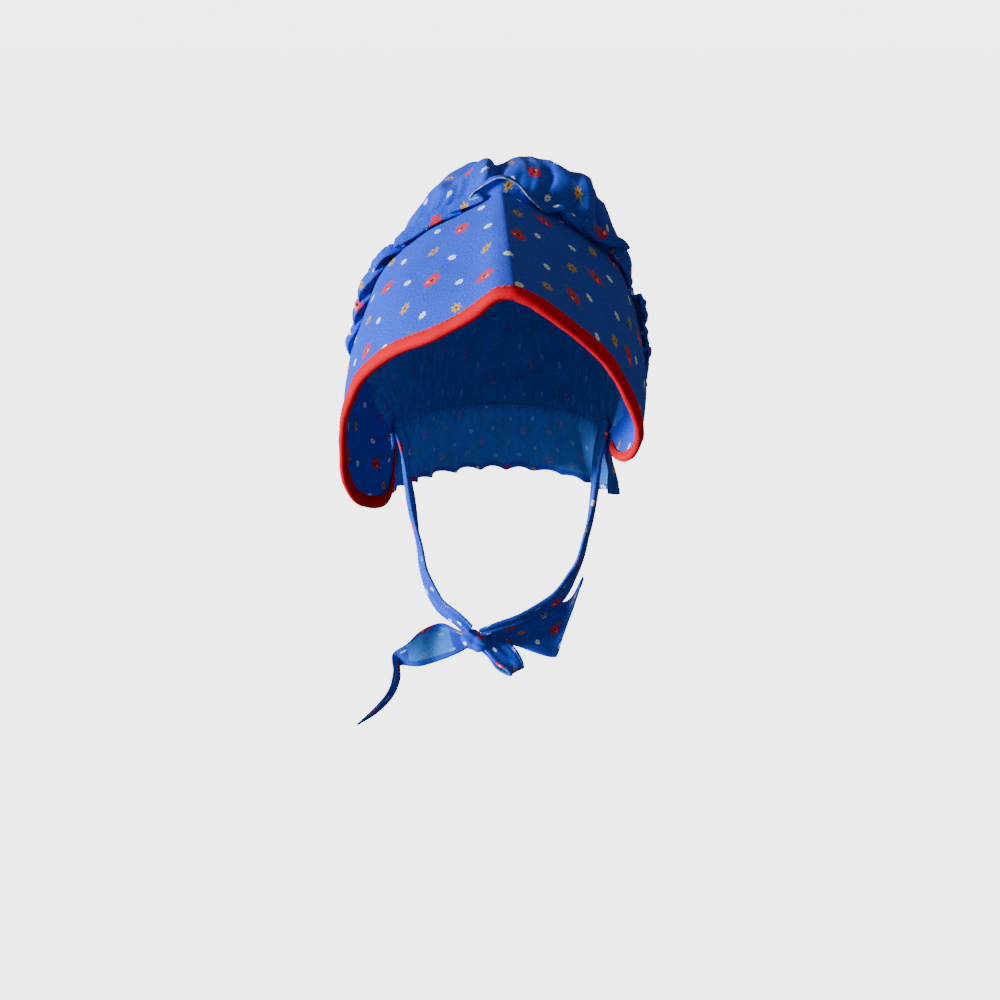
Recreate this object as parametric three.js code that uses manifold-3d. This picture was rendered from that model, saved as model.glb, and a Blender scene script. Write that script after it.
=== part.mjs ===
// Prairie bonnet in printed cotton: a stiffened brim with a bound edge, a gathered crown, a frill
// on their seam, a neck curtain, and two ties that are knotted low in front in a half bow.
// Millimetres, +Z up. The origin is the top of the hollow, where the bonnet rests when worn.
// The brim points to -Y, and +X is on the right as seen from the front.
import * as THREE from "three";
import { mergeVertices } from "three/addons/utils/BufferGeometryUtils.js";
import Module from "manifold-3d";

// Cloth thicknesses, and the gap that neighbouring pieces keep
const gap = 0.3;
const brimThickness = 1.6;
const bindingThickness = 1.0;
const crownThickness = 1.2;
const frillThickness = 1.0;
const curtainThickness = 1.2;
const tieThickness = 1.2;

// Both lower corners of the brim lie on one axis along X, which the crown's sections turn round
const middleX = -2;
const cornerHeight = -137;
const cornerReach = 6;
const seamTurn = -2;

// Half of the seam between brim and crown, from the ridge down to the corner
const seamRows = table(
  ["across", "height"],
  [0, 7],
  [19, -3],
  [36, -11],
  [46, -18],
  [56, -26],
  [63, -34],
  [68, -44],
  [72.5, -55],
  [76.5, -68],
  [79, -82],
  [79, -98],
  [75, -116],
  [67, cornerHeight + cornerReach],
);

// The brim's free edge on each side: from the ridge forward and down, round the corner and back
const edgeColumns = ["x", "y", "z"];
const leftEdgeRows = table(
  edgeColumns,
  [4, -108, -17],
  [-12, -106, -25.5],
  [-29, -101, -36],
  [-47, -92, -46],
  [-59, -85, -56],
  [-67, -80, -65],
  [-73, -75, -76],
  [-79, -71, -90],
  [-82, -69, -107],
  [-84, -64, -128],
  [-80, -54, -148],
  [-70, -38, -159],
  [-67, -21, -156],
  [-68, -8, -146],
);
const rightEdgeRows = table(
  edgeColumns,
  [4, -108, -17],
  [12, -107, -21],
  [29, -101, -35],
  [44, -92, -51],
  [56, -81, -71],
  [67, -68, -93],
  [72, -57, -107],
  [72.5, -44, -122],
  [69, -33, -131],
  [66, -20, -136],
  [65, -8, -137],
);
const brimBow = 3;
const brimColumnsPerSide = 20;
const brimRowCount = 4;

// The bound edge: a strip folded over the brim's free edge
const bindingWidth = 5.2;
const bindingShare = 0.6;
const bindingGap = 0.5;
const bindingClear = brimThickness / 2 + bindingGap + bindingThickness / 2;

// The crown's sections, one for each angle that it has turned back from upright
const crownRows = table(
  ["turn", "reach", "half", "leftSquare", "rightSquare", "fullness", "valley"],
  [seamTurn, 144, 79, 2.1, 2.7, 0, 0],
  [2, 151, 79, 1.95, 2.7, 0.7, 2],
  [8, 155.5, 80, 1.95, 2.7, 1, 5],
  [20, 158, 81, 2.0, 2.6, 1, 4],
  [34, 156, 81, 2.1, 2.5, 1, 1],
  [48, 147, 79, 2.1, 2.4, 1, 0],
  [62, 131, 76, 2.2, 2.3, 1, 0],
  [76, 110, 72, 2.2, 2.3, 1, 0],
  [90, 90, 69, 2.2, 2.2, 1, 0],
  [99, 80, 67, 2.2, 2.2, 1, 0],
);
const crownColumnsPerSide = 30;
const crownRowCount = 12;
const crownCrowding = 1.3;
const crownTaperPower = 5;
const gathers = { count: 11, depth: 1.8, fade: 0.22 };
const valley = { x: -3, width: 7 };

// The frill stands on the brim just in front of the seam
const frill = { topHeight: 9, sideHeight: 3.5, startShare: 0.07, columns: 37, rows: 2 };
const frillLean = { middle: 32, swing: 30, waveCount: 15 };
const frillArch = { middle: 2, width: 15, rise: 3 };

// The neck curtain hangs from the crown's lower edge
const curtain = { frontDrop: 37, backDrop: 53, flare: 9, waveDepth: 4, waveCount: 9 };
const curtainGridSize = { columns: 28, rows: 3 };
const curtainCentreY = 22;

// Each tie comes down inside the corner of the crown, beside the neck, and forward to the knot
const neckCentreY = 12;
const strapSteps = { along: 22, across: 3, curl: 0.12 };
const tieColumns = ["x", "y", "z", "width"];
const leftStrapRows = table(
  tieColumns,
  [-66.0, 14, -131, 22],
  [-62.5, 12, -150, 24],
  [-60, 7, -178, 26],
  [-56, 1, -208, 24],
  [-52, -7, -232, 20],
  [-43, -20, -245, 14],
  [-31, -34, -246, 10],
  [-21, -44, -248.5, 7],
);
const rightStrapRows = table(
  tieColumns,
  [62.0, 14, -131, 22],
  [58.5, 12, -150, 24],
  [57, 7, -178, 26],
  [53, 1, -206, 24],
  [46, -8, -229, 20],
  [33, -23, -241, 14],
  [12, -36, -245, 10],
  [-6, -43, -247, 8],
  [-14, -46, -249, 7],
);

// The knot, and the free ends that leave it: each row gives both edges of the cloth
const knot = { x: -18, y: -48, z: -253.5, long: 9.5, wide: 7, high: 6, turn: -28, lobeDepth: 0.1 };
const endColumns = ["backX", "backY", "backZ", "frontX", "frontY", "frontZ"];
const leftTailRows = table(
  endColumns,
  [-18, -47, -253, -18, -50, -254],
  [-30, -40, -252, -30, -55, -258],
  [-41, -33, -253, -43, -57, -263],
  [-53, -40, -253, -54, -60, -264],
  [-62, -50, -256, -63, -58, -265],
  [-70, -54, -260, -66, -57, -267],
  [-69, -65, -264, -65, -66, -271],
  [-71, -76, -267, -68, -78, -275],
  [-78, -86, -272, -76, -89, -276],
  [-87, -97, -275.5, -86, -96, -276.2],
);
const rightTailRows = table(
  endColumns,
  [-18, -46, -254, -18, -49, -255],
  [-2, -34, -255, -5, -42, -259],
  [13, -22, -257, 10, -43, -263],
  [29, -7, -260, 22, -48, -264],
  [46, 0, -260, 30, -51, -264],
  [56, 14, -251, 34, -51, -264],
);
const loopRows = table(
  endColumns,
  [-17, -48, -252, -18, -50, -253],
  [-4, -44, -254, -11, -55, -256],
  [7, -51, -257, -4, -63, -259],
  [12, -60, -260, 3, -67.5, -261],
  [12.6, -62, -262, 4.4, -68.6, -262.6],
  [12, -60, -264, 3, -67.5, -264],
  [5, -54, -264, -4, -62, -264],
  [-6, -49, -261, -10, -54, -261],
  [-17, -49, -256, -18, -50, -256],
);

// Colours of the cloth
const printedCotton = new THREE.MeshStandardMaterial({ color: 0x2f5cb3, roughness: 0.85, metalness: 0 });
const redBinding = new THREE.MeshStandardMaterial({ color: 0xd41f33, roughness: 0.8, metalness: 0 });

// A table names its columns once and gives one object for each row
function table(columns, ...rows) {
  return rows.map((row) => Object.fromEntries(columns.map((name, k) => [name, row[k]])));
}

// Evenly spaced numbers from first to last
function steps(first, last, count) {
  return Array.from({ length: count + 1 }, (_, k) => first + ((last - first) * k) / count);
}

function smoothCurve(points) {
  return new THREE.CatmullRomCurve3(points, false, "centripetal");
}

function bell(distance, width) {
  return Math.exp(-((distance / width) ** 2));
}

// The outward direction of a grid of points, from its neighbours along both of its ways
function normalAt(grid, i, j) {
  const alongNext = grid[Math.min(i + 1, grid.length - 1)][j];
  const alongLast = grid[Math.max(i - 1, 0)][j];
  const acrossNext = grid[i][Math.min(j + 1, grid[i].length - 1)];
  const acrossLast = grid[i][Math.max(j - 1, 0)];
  const along = alongNext.clone().sub(alongLast);
  const across = acrossNext.clone().sub(acrossLast);
  return along.cross(across).normalize();
}

function offsetFrom(grid, i, j, distance) {
  return grid[i][j].clone().addScaledVector(normalAt(grid, i, j), distance);
}

// A wall of cloth whose middle surface is the grid, closed all round its rim
function wall(grid, thickness) {
  const lineCount = grid.length;
  const pointCount = grid[0].length;
  const points = [];
  for (const side of [0.5, -0.5]) {
    for (let i = 0; i < lineCount; i += 1) {
      for (let j = 0; j < pointCount; j += 1) {
        points.push(offsetFrom(grid, i, j, side * thickness));
      }
    }
  }
  const top = (i, j) => i * pointCount + j;
  const under = (i, j) => (lineCount + i) * pointCount + j;
  const faces = [];
  const quad = (a, b, c, d) => faces.push(a, b, c, a, c, d);
  const endLine = lineCount - 1;
  const endPoint = pointCount - 1;
  for (let i = 0; i < endLine; i += 1) {
    for (let j = 0; j < endPoint; j += 1) {
      quad(top(i, j), top(i + 1, j), top(i + 1, j + 1), top(i, j + 1));
      quad(under(i, j), under(i, j + 1), under(i + 1, j + 1), under(i + 1, j));
    }
    quad(top(i, 0), under(i, 0), under(i + 1, 0), top(i + 1, 0));
    quad(top(i, endPoint), top(i + 1, endPoint), under(i + 1, endPoint), under(i, endPoint));
  }
  for (let j = 0; j < endPoint; j += 1) {
    quad(top(0, j), top(0, j + 1), under(0, j + 1), under(0, j));
    quad(top(endLine, j), under(endLine, j), under(endLine, j + 1), top(endLine, j + 1));
  }
  const geometry = new THREE.BufferGeometry().setFromPoints(points);
  geometry.setIndex(faces);
  geometry.computeVertexNormals();
  return geometry;
}

// The seam as a curve across X and up Z, measured from the axis through the corners
const seamCurve = smoothCurve(
  seamRows.map((row) => new THREE.Vector3(row.across, row.height - cornerHeight, 0)),
);

// A point of a section that has turned back round the corner axis
function turned(across, reach, turn) {
  const angle = THREE.MathUtils.degToRad(turn);
  return new THREE.Vector3(
    middleX + across,
    reach * Math.sin(angle),
    cornerHeight + reach * Math.cos(angle),
  );
}

// A point of the seam: share runs from 0 at the ridge to 1 at the corner
function seamPoint(side, share) {
  const point = seamCurve.getPointAt(share);
  return turned(side * point.x, point.y, seamTurn);
}

// Brim
const edgeCurves = {
  left: smoothCurve(leftEdgeRows.map((row) => new THREE.Vector3(row.x, row.y, row.z))),
  right: smoothCurve(rightEdgeRows.map((row) => new THREE.Vector3(row.x, row.y, row.z))),
};

// One line of the brim from the seam to its cut edge, which the binding's fold reaches past.
// Place runs from 1 at the right corner over the ridge to -1 at the left one.
function brimLine(place) {
  const side = place < 0 ? -1 : 1;
  const share = Math.abs(place);
  const seamShare = share + share * share * (1 - share);
  const start = seamPoint(side, seamShare);
  start.y -= gap + crownThickness / 2;
  const edge = (side < 0 ? edgeCurves.left : edgeCurves.right).getPointAt(share);
  edge.addScaledVector(start.clone().sub(edge).normalize(), bindingClear + bindingThickness / 2);
  const outward = new THREE.Vector3(side * share, 0, 1 - share).normalize();
  const bow = brimBow * Math.sin(Math.PI * share);
  return steps(0, 1, brimRowCount).map((depth) =>
    start.clone().lerp(edge, depth).addScaledVector(outward, bow * Math.sin(Math.PI * depth)),
  );
}

function brimGrid() {
  return steps(1, -1, 2 * brimColumnsPerSide).map(brimLine);
}

// Edge binding: each line goes from the outer arm round the fold to the inner arm
function bindingGrid(brim) {
  return brim.map((line, i) => {
    const last = line.length - 1;
    const inward = line[last - 1].clone().sub(line[last]).normalize();
    const next = brim[Math.min(i + 1, brim.length - 1)][last];
    const along = next.clone().sub(brim[Math.max(i - 1, 0)][last]).normalize();
    const forward = inward.clone().addScaledVector(along, -inward.dot(along)).normalize().negate();
    const arm = Math.min(bindingWidth, bindingShare * line[0].distanceTo(line[last]));
    const outward = normalAt(brim, i, last);
    const arms = (into, out) =>
      line[last].clone().addScaledVector(inward, into).addScaledVector(outward, out);
    const fold = steps(90, -90, 4).map((degrees) => {
      const angle = THREE.MathUtils.degToRad(degrees);
      return arms(0, bindingClear * Math.sin(angle)).addScaledVector(
        forward,
        bindingClear * Math.cos(angle),
      );
    });
    return [
      arms(arm, bindingClear),
      arms(arm / 2, bindingClear),
      ...fold,
      arms(arm / 2, -bindingClear),
      arms(arm, -bindingClear),
    ];
  });
}

// Crown
const crownColumns = Object.keys(crownRows[0]);
const crownTurns = new THREE.CubicInterpolant(
  crownRows.map((row) => row.turn),
  crownRows.flatMap((row) => Object.values(row)),
  crownColumns.length,
);

function crownSection(turn) {
  const values = crownTurns.evaluate(turn);
  return Object.fromEntries(crownColumns.map((name, k) => [name, values[k]]));
}

// A rounded section, drawn in at the corner, which blends from the seam's own outline
function crownPoint(section, place) {
  const share = Math.abs(place);
  const side = Math.sign(place);
  const seam = seamCurve.getPointAt(share);
  const corner = seamCurve.getPointAt(1);
  const square = 2 / (side < 0 ? section.leftSquare : section.rightSquare);
  const angle = (share * Math.PI) / 2;
  const drawnIn = (section.half - corner.x) * share ** crownTaperPower;
  const across = section.half * Math.sin(angle) ** square - drawnIn;
  const rise = Math.max(Math.cos(angle), 0) ** square;
  const reach = cornerReach + (section.reach - cornerReach) * rise;
  const fullAcross = THREE.MathUtils.lerp(seam.x, across, section.fullness);
  const fullReach = THREE.MathUtils.lerp(seam.y, reach, section.fullness);
  const dip = section.valley * bell(side * fullAcross - valley.x, valley.width);
  return { across: side * fullAcross, reach: fullReach - dip };
}

function crownGrid() {
  const first = crownRows[0].turn;
  const last = crownRows[crownRows.length - 1].turn;
  return steps(-1, 1, 2 * crownColumnsPerSide).map((place) =>
    steps(0, 1, crownRowCount).map((depth) => {
      const turn = first + (last - first) * depth ** crownCrowding;
      const { across, reach } = crownPoint(crownSection(turn), place);
      const swell = (depth / gathers.fade) * Math.exp(1 - depth / gathers.fade);
      const wave = Math.cos(2 * Math.PI * gathers.count * place) * (1 - place ** 4);
      return turned(across, reach + gathers.depth * swell * wave, turn);
    }),
  );
}

// Frill
function frillGrid(brim) {
  const seat = brimThickness / 2 + gap + frillThickness / 2;
  const middle = brimColumnsPerSide;
  return steps(0, brim.length - 1, 2 * frill.columns).map((station) => {
    const i = Math.min(Math.floor(station), brim.length - 2);
    const line = [0, 1].map((j) => brim[i][j].clone().lerp(brim[i + 1][j], station - i));
    const forward = line[1].clone().sub(line[0]);
    const foot = line[0].clone().addScaledVector(forward, frill.startShare * brimRowCount);
    const outward = normalAt(brim, i, 0).lerp(normalAt(brim, i + 1, 0), station - i).normalize();
    const place = (station - middle) / middle;
    const height = THREE.MathUtils.lerp(frill.topHeight, frill.sideHeight, Math.abs(place) ** 0.6);
    const rise = frillArch.rise * bell(foot.x - frillArch.middle, frillArch.width);
    const swing = frillLean.swing * Math.cos(2 * Math.PI * frillLean.waveCount * place);
    const upright = 1 - rise / (2 * frillArch.rise);
    const angle = THREE.MathUtils.degToRad((frillLean.middle + swing) * upright);
    forward.normalize();
    return steps(1, 0, frill.rows).map((up) =>
      foot
        .clone()
        .addScaledVector(outward, seat + (height + rise) * up * Math.cos(angle))
        .addScaledVector(forward, height * up * Math.sin(angle)),
    );
  });
}

// Neck curtain
function curtainGrid() {
  const last = crownRows[crownRows.length - 1];
  return steps(-1, 1, 2 * curtainGridSize.columns).map((place) => {
    const { across, reach } = crownPoint(last, place);
    const hem = turned(across, reach, last.turn);
    hem.z -= gap + curtainThickness / 2;
    const outward = new THREE.Vector3(hem.x - middleX, hem.y - curtainCentreY, 0).normalize();
    const drop = THREE.MathUtils.lerp(curtain.backDrop, curtain.frontDrop, place ** 4);
    const wave = Math.cos(2 * Math.PI * curtain.waveCount * place);
    return steps(0, 1, curtainGridSize.rows).map((depth) => {
      const out = curtain.flare * depth + curtain.waveDepth * depth * wave;
      return new THREE.Vector3(hem.x, hem.y, hem.z - drop * depth).addScaledVector(outward, out);
    });
  });
}

// A strap along its rows, with its width turned to lie flat against the neck
function strapGrid(rows) {
  const centre = smoothCurve(rows.map((row) => new THREE.Vector3(row.x, row.y, row.z)));
  const widths = smoothCurve(rows.map((row, k) => new THREE.Vector3(k, row.width, 0)));
  return steps(0, 1, strapSteps.along).map((share) => {
    const point = centre.getPoint(share);
    const width = widths.getPoint(share).y;
    const outward = new THREE.Vector3(point.x - middleX, point.y - neckCentreY, 0).normalize();
    const across = centre.getTangent(share).cross(outward).normalize();
    return steps(-0.5, 0.5, strapSteps.across).map((part) =>
      point
        .clone()
        .addScaledVector(across, part * width)
        .addScaledVector(outward, strapSteps.curl * width * Math.cos(Math.PI * part)),
    );
  });
}

// A free end between its two edges, with a crown along its middle
function freeEndGrid(rows, crowning, lineCount) {
  const acrossCount = 4;
  const back = smoothCurve(rows.map((row) => new THREE.Vector3(row.backX, row.backY, row.backZ)));
  const front = smoothCurve(rows.map((row) => new THREE.Vector3(row.frontX, row.frontY, row.frontZ)));
  return steps(0, 1, lineCount).map((share) => {
    const backPoint = back.getPoint(share);
    const frontPoint = front.getPoint(share);
    return steps(0, 1, acrossCount).map((part) => {
      const point = backPoint.clone().lerp(frontPoint, part);
      point.z += crowning * Math.sin(Math.PI * part) * Math.sin(Math.PI * share);
      return point;
    });
  });
}

// The knot is one lobed lump; grown by the gap, it also trims the cloth that runs into it
function knotGeometry(growth) {
  const geometry = new THREE.SphereGeometry(1, 16, 10);
  const places = geometry.attributes.position;
  const point = new THREE.Vector3();
  for (let k = 0; k < places.count; k += 1) {
    point.fromBufferAttribute(places, k);
    const around = Math.atan2(point.z, point.y);
    point.multiplyScalar(1 + knot.lobeDepth * Math.cos(3 * around) * (1 - point.x ** 2));
    point.multiply(new THREE.Vector3(knot.long + growth, knot.wide + growth, knot.high + growth));
    places.setXYZ(k, point.x, point.y, point.z);
  }
  geometry.rotateZ(THREE.MathUtils.degToRad(knot.turn));
  geometry.translate(knot.x, knot.y, knot.z);
  return geometry;
}

// Cutting with the solids library
const library = await Module();
library.setup();

function solidOf(geometry) {
  const bare = geometry.clone();
  bare.deleteAttribute("normal");
  bare.deleteAttribute("uv");
  const merged = mergeVertices(bare, 1e-4);
  return new library.Manifold(
    new library.Mesh({
      numProp: 3,
      vertProperties: merged.attributes.position.array,
      triVerts: new Uint32Array(merged.index.array),
    }),
  );
}

function geometryOf(solid) {
  const mesh = solid.getMesh();
  const geometry = new THREE.BufferGeometry();
  geometry.setAttribute("position", new THREE.BufferAttribute(mesh.vertProperties, 3));
  geometry.setIndex(new THREE.BufferAttribute(mesh.triVerts, 1));
  geometry.computeVertexNormals();
  return geometry;
}

// Twice the gap, because the trimmed ends are flat facets beside a round lump
const knotRoom = solidOf(knotGeometry(2 * gap));

function trimmedAtKnot(geometry) {
  return geometryOf(solidOf(geometry).subtract(knotRoom));
}

// Assembly
const bonnet = new THREE.Group();

function addPiece(name, geometry, material) {
  const piece = new THREE.Mesh(geometry, material);
  piece.name = name;
  bonnet.add(piece);
}

const brim = brimGrid();
addPiece("brim", wall(brim, brimThickness), printedCotton);
addPiece("edge_binding", wall(bindingGrid(brim), bindingThickness), redBinding);
addPiece("crown", wall(crownGrid(), crownThickness), printedCotton);
addPiece("frill", wall(frillGrid(brim), frillThickness), printedCotton);
addPiece("neck_curtain", wall(curtainGrid(), curtainThickness), printedCotton);
addPiece("left_tie", trimmedAtKnot(wall(strapGrid(leftStrapRows), tieThickness)), printedCotton);
addPiece("right_tie", trimmedAtKnot(wall(strapGrid(rightStrapRows), tieThickness)), printedCotton);
addPiece("knot", knotGeometry(0), printedCotton);
const leftTail = freeEndGrid(leftTailRows, 2, 30);
const rightTail = freeEndGrid(rightTailRows, 1, 18);
const bowLoop = freeEndGrid(loopRows, 0, 24);
addPiece("left_tail", trimmedAtKnot(wall(leftTail, tieThickness)), printedCotton);
addPiece("right_tail", trimmedAtKnot(wall(rightTail, tieThickness)), printedCotton);
addPiece("bow_loop", trimmedAtKnot(wall(bowLoop, tieThickness)), printedCotton);

export default bonnet;
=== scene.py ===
import math
from functools import reduce

import bpy
import numpy as np
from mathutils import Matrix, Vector


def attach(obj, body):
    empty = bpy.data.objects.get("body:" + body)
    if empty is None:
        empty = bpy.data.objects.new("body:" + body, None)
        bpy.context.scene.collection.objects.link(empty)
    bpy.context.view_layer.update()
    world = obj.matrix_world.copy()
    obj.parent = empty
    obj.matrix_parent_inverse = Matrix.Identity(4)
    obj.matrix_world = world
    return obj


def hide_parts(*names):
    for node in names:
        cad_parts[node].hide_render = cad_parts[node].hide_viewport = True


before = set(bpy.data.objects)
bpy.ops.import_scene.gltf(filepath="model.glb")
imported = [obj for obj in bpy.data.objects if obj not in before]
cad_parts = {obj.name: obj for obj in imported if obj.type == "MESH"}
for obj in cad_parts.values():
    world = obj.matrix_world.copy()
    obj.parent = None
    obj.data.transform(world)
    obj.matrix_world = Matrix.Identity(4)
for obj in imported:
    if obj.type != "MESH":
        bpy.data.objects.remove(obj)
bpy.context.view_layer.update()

mm = 0.001
print("frame loaded", sorted(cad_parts))


# Curves and noise

def spline(points, perSpan=24):
    # a centripetal curve through the points, as a dense line
    knots = np.asarray(points, float)
    knots = np.vstack([2 * knots[0] - knots[1], knots, 2 * knots[-1] - knots[-2]])
    t = np.linspace(0, 1, perSpan, endpoint=False)[:, None]
    line = []
    for a, b, c, d in zip(knots, knots[1:], knots[2:], knots[3:]):
        ab, bc, cd = (max(np.linalg.norm(q - p) ** 0.5, 1e-9) for p, q in ((a, b), (b, c), (c, d)))
        leave = ((b - a) / ab - (c - a) / (ab + bc) + (c - b) / bc) * bc
        arrive = ((c - b) / bc - (d - b) / (bc + cd) + (d - c) / cd) * bc
        line.append(b + leave * t + (3 * (c - b) - 2 * leave - arrive) * t**2
                    + (2 * (b - c) + leave + arrive) * t**3)
    return np.vstack([*line, knots[-2]])


def travelled(line):
    # the way gone along the first axis, from 0
    steps = np.linalg.norm(np.diff(line, axis=0), axis=-1)
    return np.concatenate([np.zeros((1, *steps.shape[1:])), np.cumsum(steps, axis=0)])


def sampled(places, reach, table):
    # the table's rows, read off at places along its reach
    return np.stack([np.interp(places, reach, table[:, k]) for k in range(table.shape[1])], -1)


def byLength(line, shares):
    # points at shares of the line's length
    reach = travelled(line)
    return sampled(np.asarray(shares) * reach[-1], reach, line)


def byKnot(line, shares):
    # points at shares of the table's rows
    return sampled(shares, np.linspace(0, 1, len(line)), line)


def joined(*columns):
    # arrays that fit together, as the coordinates of points
    return np.stack(np.broadcast_arrays(*columns), -1)


def unit(v):
    return v / np.maximum(np.linalg.norm(v, axis=-1, keepdims=True), 1e-12)


def smoothStep(low, high, x):
    t = np.clip((x - low) / (high - low), 0, 1)
    return t * t * (3 - 2 * t)


def bell(x, width):
    return np.exp(-((x / width) ** 2))


def softNoise(x, y, seed):
    # smooth noise between -1 and 1, one lump for each unit of x and y
    size = 64
    table = np.random.RandomState(seed).uniform(-1, 1, (size, size))
    x, y = np.broadcast_arrays(np.asarray(x, float), np.asarray(y, float))
    i, j = np.floor(x).astype(int), np.floor(y).astype(int)
    fx, fy = smoothStep(0, 1, x - i), smoothStep(0, 1, y - j)
    at = lambda a, b: table[a % size, b % size]
    low = at(i, j) * (1 - fx) + at(i + 1, j) * fx
    high = at(i, j + 1) * (1 - fx) + at(i + 1, j + 1) * fx
    return low * (1 - fy) + high * fy


def layeredNoise(x, y, layers):
    # a layer's row: size of its lumps along x and y, height and seed
    return sum(softNoise(x / wide, y / long, seed) * high for wide, long, high, seed in layers)


# Sheets of cloth as grids of points

rimBulge = 0.7        # how far a cut edge rounds out, in halves of the thickness


def gridNormals(grid):
    return unit(np.cross(np.gradient(grid, axis=0), np.gradient(grid, axis=1)))


def sheetMesh(name, grid, thickness, flat, finish, fade=1.0, reverse=None, reverseOut=False):
    # a closed wall of cloth round the grid, with rounded rims and its flat place on every point;
    # reverse, from 0 to 1, is how much of the unprinted side shows on the one face
    lines, points = grid.shape[:2]
    count = lines * points
    half = (np.full((lines, points), thickness / 2) * fade)[..., None]
    lift = gridNormals(grid) * half
    index = np.arange(count).reshape(lines, points)
    loop = np.concatenate([index[0], index[1:-1, -1], index[-1, ::-1], index[-2:0:-1, 0]])
    inwards = np.zeros(grid.shape)
    inwards[0] += grid[1] - grid[0]
    inwards[-1] += grid[-2] - grid[-1]
    inwards[:, 0] += grid[:, 1] - grid[:, 0]
    inwards[:, -1] += grid[:, -2] - grid[:, -1]
    away = -unit(inwards.reshape(-1, 3)[loop])
    rim = grid.reshape(-1, 3)[loop] + away * half.reshape(-1, 1)[loop] * rimBulge
    vertices = np.vstack([(grid + lift).reshape(-1, 3), (grid - lift).reshape(-1, 3), rim])
    quads = np.stack([index[:-1, :-1], index[1:, :-1], index[1:, 1:], index[:-1, 1:]], -1).reshape(-1, 4)
    edge = 2 * count + np.arange(len(loop))
    nextLoop, nextEdge = np.roll(loop, -1), np.roll(edge, -1)
    faces = np.vstack([
        quads,
        quads[:, ::-1] + count,
        np.stack([loop, nextLoop, nextEdge, edge], -1),
        np.stack([edge, nextEdge, nextLoop + count, loop + count], -1),
    ])
    both = flat.reshape(-1, 2)
    places = np.zeros((len(vertices), 3))
    places[:, :2] = np.vstack([both, both, both[loop]])
    if reverse is not None:
        face = slice(0, count) if reverseOut else slice(count, 2 * count)
        places[face, 2] = (np.zeros((lines, points)) + reverse).reshape(-1)
    return meshObject(name, vertices, faces, finish, places)


def meshObject(name, vertices, faces, finish, places=None):
    mesh = bpy.data.meshes.new(name)
    mesh.from_pydata((np.asarray(vertices) * mm).tolist(), [], [tuple(int(k) for k in f) for f in faces])
    mesh.validate()
    if places is not None:
        layer = mesh.attributes.new("clothPlace", "FLOAT_VECTOR", "POINT")
        layer.data.foreach_set("vector", np.asarray(places, np.float32).ravel())
    mesh.polygons.foreach_set("use_smooth", np.ones(len(mesh.polygons), bool))
    mesh.materials.append(finish)
    return placed(name, mesh)


def placed(name, data):
    # a new object in the scene
    thing = bpy.data.objects.new(name, data)
    bpy.context.scene.collection.objects.link(thing)
    return thing


# Threads: stitches as short arched lengths, in millimetres; they start within the margins of a row
clothStitch = dict(every=2.5, long=1.6, margins=(3.0, 4.6), arch=(-0.2, 0.06, 0.06, -0.2), radius=0.15)
threadTip = 0.45      # a thread's ends are this much of its width


def tubeMesh(name, paths, radius, finish, sides=5):
    # closed round threads along many short paths, joined in one mesh
    vertices, faces = [], []
    turn = np.linspace(0, 2 * math.pi, sides, endpoint=False)
    for path in paths:
        direction = unit(np.gradient(path, axis=0))
        steep = np.abs(direction[:, 2:3]) >= 0.8
        first = unit(np.cross(direction, np.where(steep, [[1.0, 0.0, 0.0]], [[0.0, 0.0, 1.0]])))
        second = np.cross(direction, first)
        width = np.full((len(path), 1, 1), radius)
        width[[0, -1]] *= threadTip
        ring = path[:, None] + width * (first[:, None] * np.cos(turn)[None, :, None]
                                        + second[:, None] * np.sin(turn)[None, :, None])
        base = len(vertices)
        vertices.extend(ring.reshape(-1, 3))
        for start in range(base, base + (len(path) - 1) * sides, sides):
            for k in range(sides):
                a, b = start + k, start + (k + 1) % sides
                faces.append((a, b, b + sides, a + sides))
        faces.append(tuple(reversed(range(base, base + sides))))
        faces.append(tuple(range(len(vertices) - sides, len(vertices))))
    return meshObject(name, np.array(vertices), faces, finish)


def stitchPaths(line, outward, rise, stitch, reach=None):
    # short threads along a line of the cloth, on both of its faces, sunk in at their ends
    reach = travelled(line) if reach is None else reach
    first, last = stitch["margins"]
    paths = []
    for start in np.arange(first, reach[-1] - last, stitch["every"]):
        t = start + np.linspace(0, stitch["long"], len(stitch["arch"]))
        base, out = sampled(t, reach, line), unit(sampled(t, reach, outward))
        lift = (rise + np.array(stitch["arch"]))[:, None]
        paths += [base + out * lift, base - out * lift]
    return paths


# Shader maths: a socket with operators, and a maker of nodes

def operator(kind, reflected=False):
    # what an operator does: a Math node, with its two values swapped in the reflected form
    def apply(self, other):
        pair = [other, self] if reflected else [self, other]
        return self.maker.node("ShaderNodeMath", {"operation": kind}, pair)
    return apply


class Value:
    __add__ = __radd__ = operator("ADD")
    __mul__ = __rmul__ = operator("MULTIPLY")
    __sub__, __rsub__ = operator("SUBTRACT"), operator("SUBTRACT", reflected=True)
    __truediv__, __rtruediv__ = operator("DIVIDE"), operator("DIVIDE", reflected=True)
    biggest = operator("MAXIMUM")

    def __init__(self, maker, socket):
        self.maker = maker
        self.socket = socket

    def math(self, operation, *others):
        return self.maker.node("ShaderNodeMath", {"operation": operation}, [self, *others])

    def fade(self, low, high):
        # 0 at low and 1 at high, or the other way round when low is the larger
        return self.maker.node("ShaderNodeMapRange", {"interpolation_type": "SMOOTHSTEP"},
                               {"Value": self, "From Min": low, "From Max": high})


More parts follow.
